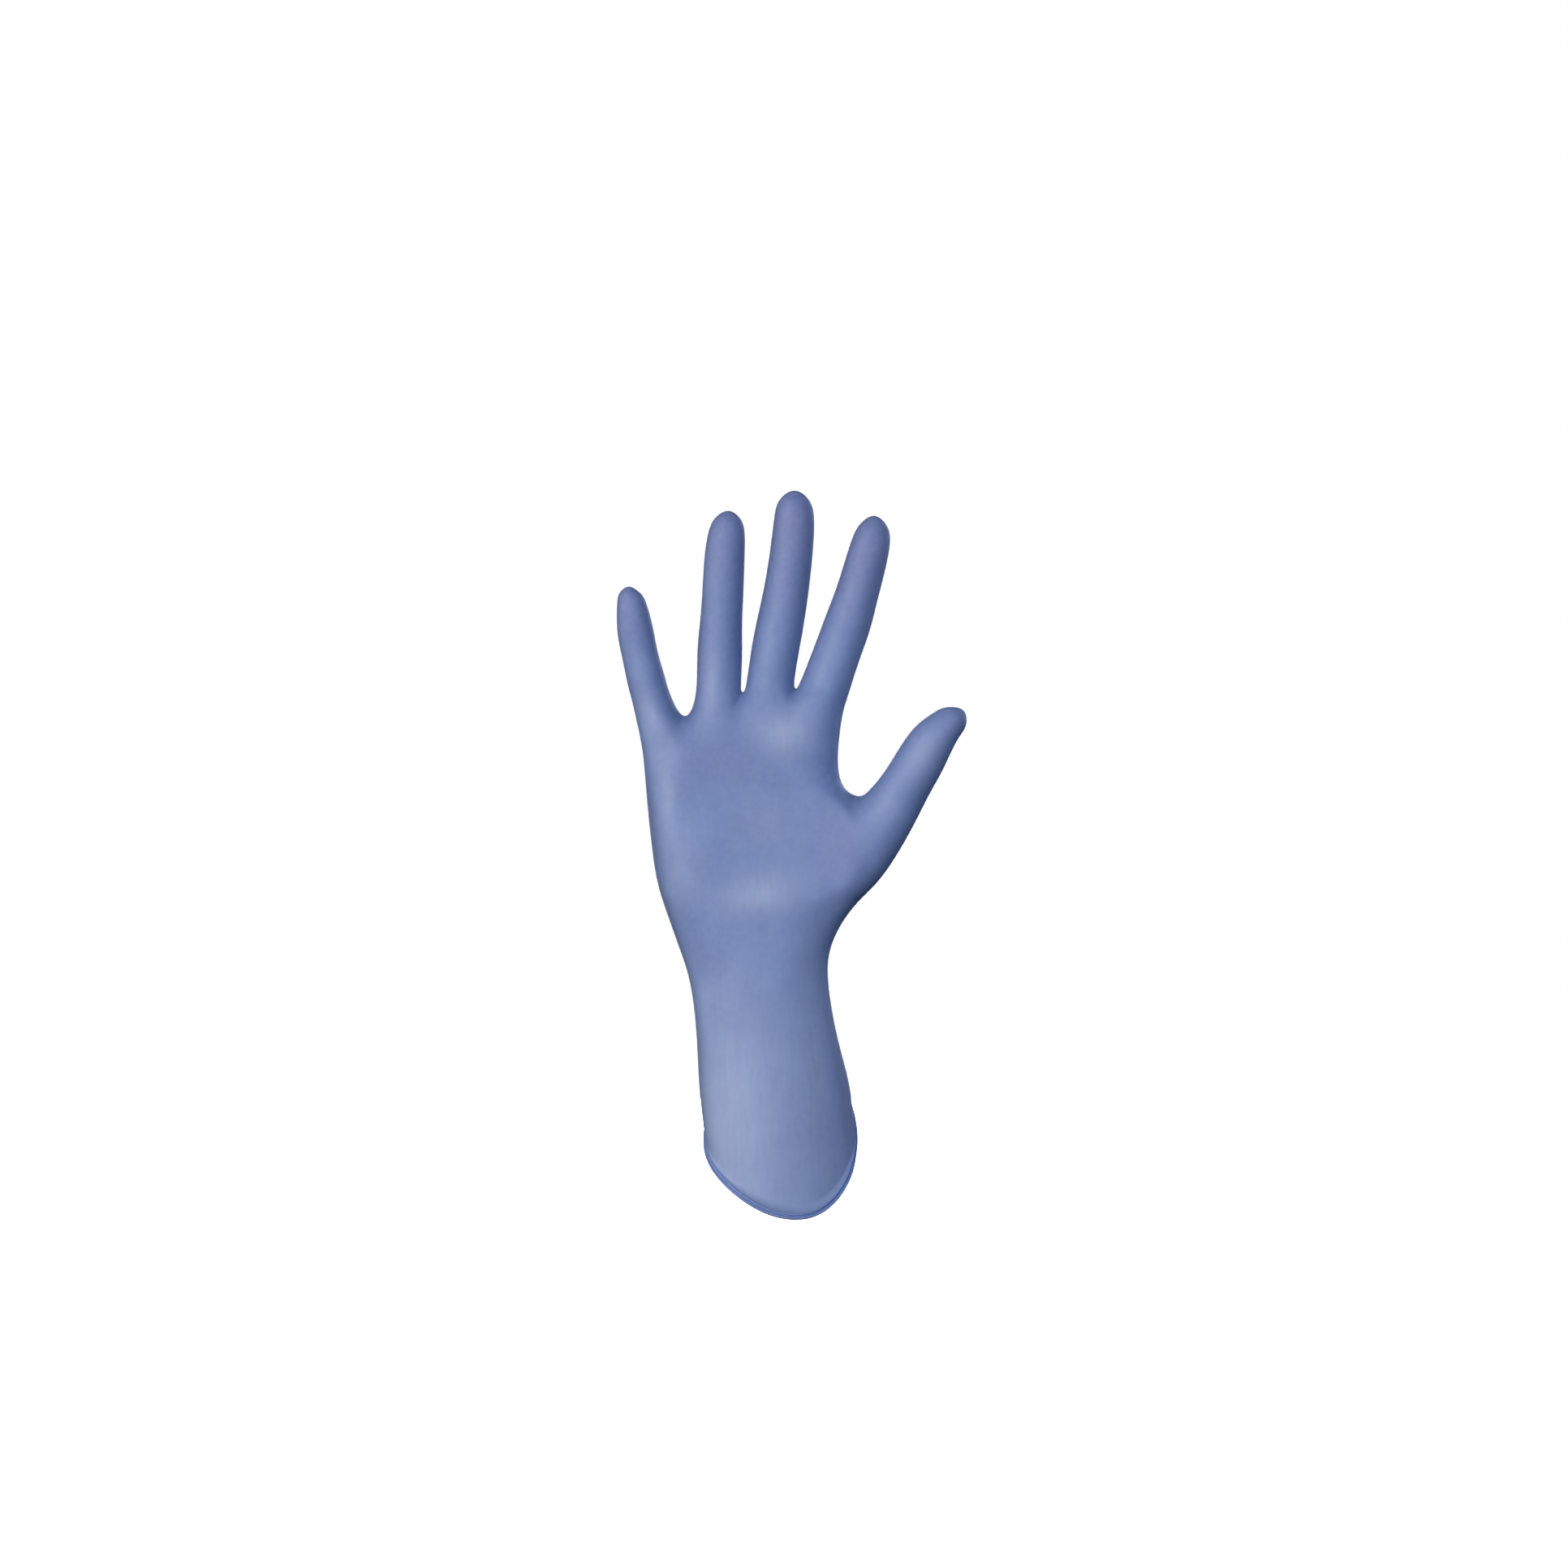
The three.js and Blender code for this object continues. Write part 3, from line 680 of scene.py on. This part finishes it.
away = floor_nodes.new("ShaderNodeVectorMath")
away.operation = "LENGTH"
glow = floor_nodes.new("ShaderNodeMapRange")
glow.inputs["From Min"].default_value = 0.3
glow.inputs["From Max"].default_value = 2.2
glow.inputs["To Min"].default_value = 0.84
glow.inputs["To Max"].default_value = 1.0
floor_links.new(place.outputs["Object"], away.inputs[0])
floor_links.new(away.outputs["Value"], glow.inputs["Value"])
floor_links.new(glow.outputs["Result"], paper_shader.inputs["Emission Strength"])
floor_mesh.materials.append(paper)
floor.visible_diffuse = False
floor.visible_glossy = False

LIGHTS = table("name x y z size power red green blue", [
    ["key", -1.05, -1.35, 0.45, 1.0, 20.0, 1.0, 0.97, 0.93],
    ["side", -1.85, -0.45, 0.10, 1.2, 11.0, 0.97, 0.98, 1.0],
    ["front", 0.05, -2.30, -0.10, 1.8, 25.0, 0.96, 0.97, 1.0],
    ["fill", 0.80, -1.45, 0.62, 1.0, 8.8, 0.50, 0.70, 1.0],
    ["rim", 0.55, 0.15, 0.62, 0.4, 0.6, 0.66, 0.76, 1.0],
    ["thumb_side", 1.78, 0.80, -0.08, 1.0, 5.2, 0.62, 0.79, 1.0],
    ["back", 0.00, 2.30, 0.30, 1.5, 42.0, 0.86, 0.92, 1.0],
    ["back_side", 1.40, 1.60, 0.80, 1.0, 7.5, 0.80, 0.88, 1.0],
    ["top", 0.00, 0.45, 1.60, 0.8, 2.2, 0.80, 0.88, 1.0],
])
aim = Vector((0.0, 0.0, 0.12))
for row in LIGHTS:
    lamp = bpy.data.lights.new(row["name"], "AREA")
    lamp.shape = "DISK"
    lamp.size = row["size"]
    lamp.energy = row["power"]
    lamp.color = (row["red"], row["green"], row["blue"])
    light = bpy.data.objects.new(row["name"], lamp)
    light.location = (row["x"], row["y"], row["z"])
    light.rotation_euler = (aim - light.location).to_track_quat("-Z", "Y").to_euler()
    light.visible_camera = False
    bpy.context.scene.collection.objects.link(light)

world = bpy.data.worlds.new("studio")
world.use_nodes = True
world.node_tree.nodes["Background"].inputs["Color"].default_value = (1, 1, 1, 1)
world.node_tree.nodes["Background"].inputs["Strength"].default_value = 1.0
world.cycles_visibility.diffuse = False
world.cycles_visibility.glossy = False
bpy.context.scene.world = world

lens = bpy.data.cameras.new("camera")
lens.lens = 100
lens.sensor_width = 36
lens.clip_end = 50
camera = bpy.data.objects.new("camera", lens)
camera.location = (0.0016, -1.7172, 0.1427)
camera.rotation_euler = (math.radians(90), 0, 0)
bpy.context.scene.collection.objects.link(camera)
bpy.context.scene.camera = camera
bpy.context.scene.view_settings.view_transform = "Standard"
bpy.context.scene.view_settings.look = "None"
